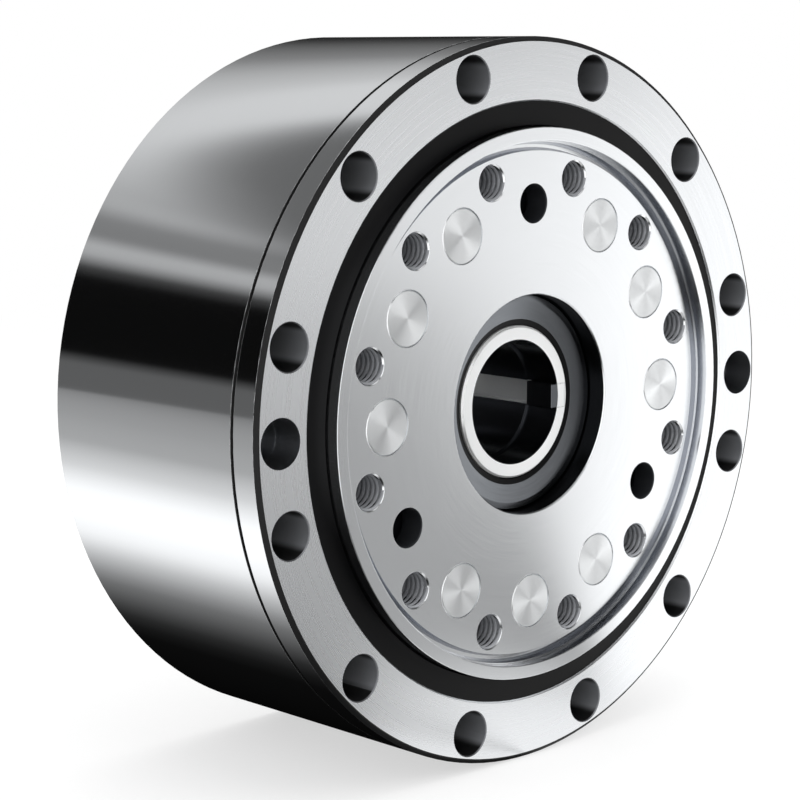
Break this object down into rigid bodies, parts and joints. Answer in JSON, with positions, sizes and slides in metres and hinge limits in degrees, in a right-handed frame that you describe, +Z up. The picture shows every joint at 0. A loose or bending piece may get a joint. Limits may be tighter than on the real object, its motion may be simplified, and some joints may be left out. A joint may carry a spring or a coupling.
{
  "type": "cycloidal reducer",
  "caption": "Cylindrical cycloidal speed reducer with a bolted steel case, a flanged output face with tapped holes and a hollow keyed input shaft.",
  "frame": {"origin": "centre of the case's bolt circle, on the front face of the case", "axes": "-Y out of the output face along the axis, +Y towards the motor, +Z up, +X to the right seen from the front"},
  "size_m": [0.145, 0.0625, 0.145],
  "materials": {
    "ground_steel": "ground and polished",
    "bearing_steel": "polished",
    "disc_steel": "ground",
    "shaft_steel": "ground",
    "seal_case_steel": "pressed and phosphated",
    "screw_steel": "black oxide",
    "seal_rubber": "satin",
    "cage_plastic": "moulded nylon"
  },
  "bodies": {
    "case": {"front_ring": "ground_steel", "pin_housing": "ground_steel", "ring_pins": "bearing_steel", "output_seal": "seal_rubber", "rear_seal": "seal_rubber", "front_bearing_cup": "bearing_steel", "rear_bearing_cup": "bearing_steel", "front_pin_washer": "bearing_steel", "rear_pin_washer": "bearing_steel"},
    "output_carrier": {"output_flange": "ground_steel", "rear_flange": "ground_steel", "carrier_pins": "bearing_steel", "pin_bushes": "bearing_steel", "clamp_spacers": "disc_steel", "clamp_screws": "screw_steel", "front_bearing_cone": "bearing_steel", "rear_bearing_cone": "bearing_steel", "front_input_outer_ring": "bearing_steel", "rear_input_outer_ring": "bearing_steel", "front_input_seals": "seal_rubber", "rear_input_seals": "seal_rubber", "front_hub_seal_case": "seal_case_steel", "rear_hub_seal_case": "seal_case_steel", "front_hub_seal_lip": "seal_rubber", "rear_hub_seal_lip": "seal_rubber"},
    "input_shaft": {"input_shaft": "shaft_steel", "shaft_key": "shaft_steel", "front_input_inner_ring": "bearing_steel", "rear_input_inner_ring": "bearing_steel"},
    "cycloid_disc_a": {"cycloid_disc_a": "disc_steel", "eccentric_race_a": "bearing_steel"},
    "cycloid_disc_b": {"cycloid_disc_b": "disc_steel", "eccentric_race_b": "bearing_steel"},
    "eccentric_cage_a": {"eccentric_cage_a": "cage_plastic", "eccentric_rollers_a": "bearing_steel"},
    "eccentric_cage_b": {"eccentric_cage_b": "cage_plastic", "eccentric_rollers_b": "bearing_steel"},
    "front_main_cage": {"front_bearing_cage": "cage_plastic", "front_bearing_rollers": "bearing_steel"},
    "rear_main_cage": {"rear_bearing_cage": "cage_plastic", "rear_bearing_rollers": "bearing_steel"},
    "front_input_cage": {"front_input_cage": "cage_plastic", "front_input_rollers": "bearing_steel"},
    "rear_input_cage": {"rear_input_cage": "cage_plastic", "rear_input_rollers": "bearing_steel"}
  },
  "joints": [
    {"name": "output_spin", "type": "hinge", "parent": "case", "child": "output_carrier", "pos_m": [0, 0, 0], "axis": [0, -1, 0], "continuous": true},
    {"name": "input_spin", "type": "hinge", "parent": "case", "child": "input_shaft", "pos_m": [0, 0, 0], "axis": [0, -1, 0], "continuous": true},
    {"name": "disc_a_spin", "type": "hinge", "parent": "input_shaft", "child": "cycloid_disc_a", "pos_m": [0.0012, 0.03, 0], "axis": [0, -1, 0], "continuous": true},
    {"name": "disc_b_spin", "type": "hinge", "parent": "input_shaft", "child": "cycloid_disc_b", "pos_m": [-0.0012, 0.03, 0], "axis": [0, -1, 0], "continuous": true},
    {"name": "eccentric_cage_a_spin", "type": "hinge", "parent": "input_shaft", "child": "eccentric_cage_a", "pos_m": [0.0012, 0.03, 0], "axis": [0, -1, 0], "continuous": true},
    {"name": "eccentric_cage_b_spin", "type": "hinge", "parent": "input_shaft", "child": "eccentric_cage_b", "pos_m": [-0.0012, 0.03, 0], "axis": [0, -1, 0], "continuous": true},
    {"name": "front_main_cage_spin", "type": "hinge", "parent": "case", "child": "front_main_cage", "pos_m": [0, 0, 0], "axis": [0, -1, 0], "continuous": true},
    {"name": "rear_main_cage_spin", "type": "hinge", "parent": "case", "child": "rear_main_cage", "pos_m": [0, 0, 0], "axis": [0, -1, 0], "continuous": true},
    {"name": "front_input_cage_spin", "type": "hinge", "parent": "output_carrier", "child": "front_input_cage", "pos_m": [0, 0, 0], "axis": [0, -1, 0], "continuous": true},
    {"name": "rear_input_cage_spin", "type": "hinge", "parent": "output_carrier", "child": "rear_input_cage", "pos_m": [0, 0, 0], "axis": [0, -1, 0], "continuous": true}
  ],
  "couplings": [
    {"joint": "input_spin", "follows": "output_spin", "ratio": -29},
    {"joint": "disc_a_spin", "follows": "output_spin", "ratio": 30},
    {"joint": "disc_b_spin", "follows": "output_spin", "ratio": 30},
    {"joint": "eccentric_cage_a_spin", "follows": "output_spin", "ratio": 16.829},
    {"joint": "eccentric_cage_b_spin", "follows": "output_spin", "ratio": 16.829},
    {"joint": "front_main_cage_spin", "follows": "output_spin", "ratio": 0.48007},
    {"joint": "rear_main_cage_spin", "follows": "output_spin", "ratio": 0.48007},
    {"joint": "front_input_cage_spin", "follows": "output_spin", "ratio": -13.77},
    {"joint": "rear_input_cage_spin", "follows": "output_spin", "ratio": -13.77}
  ]
}
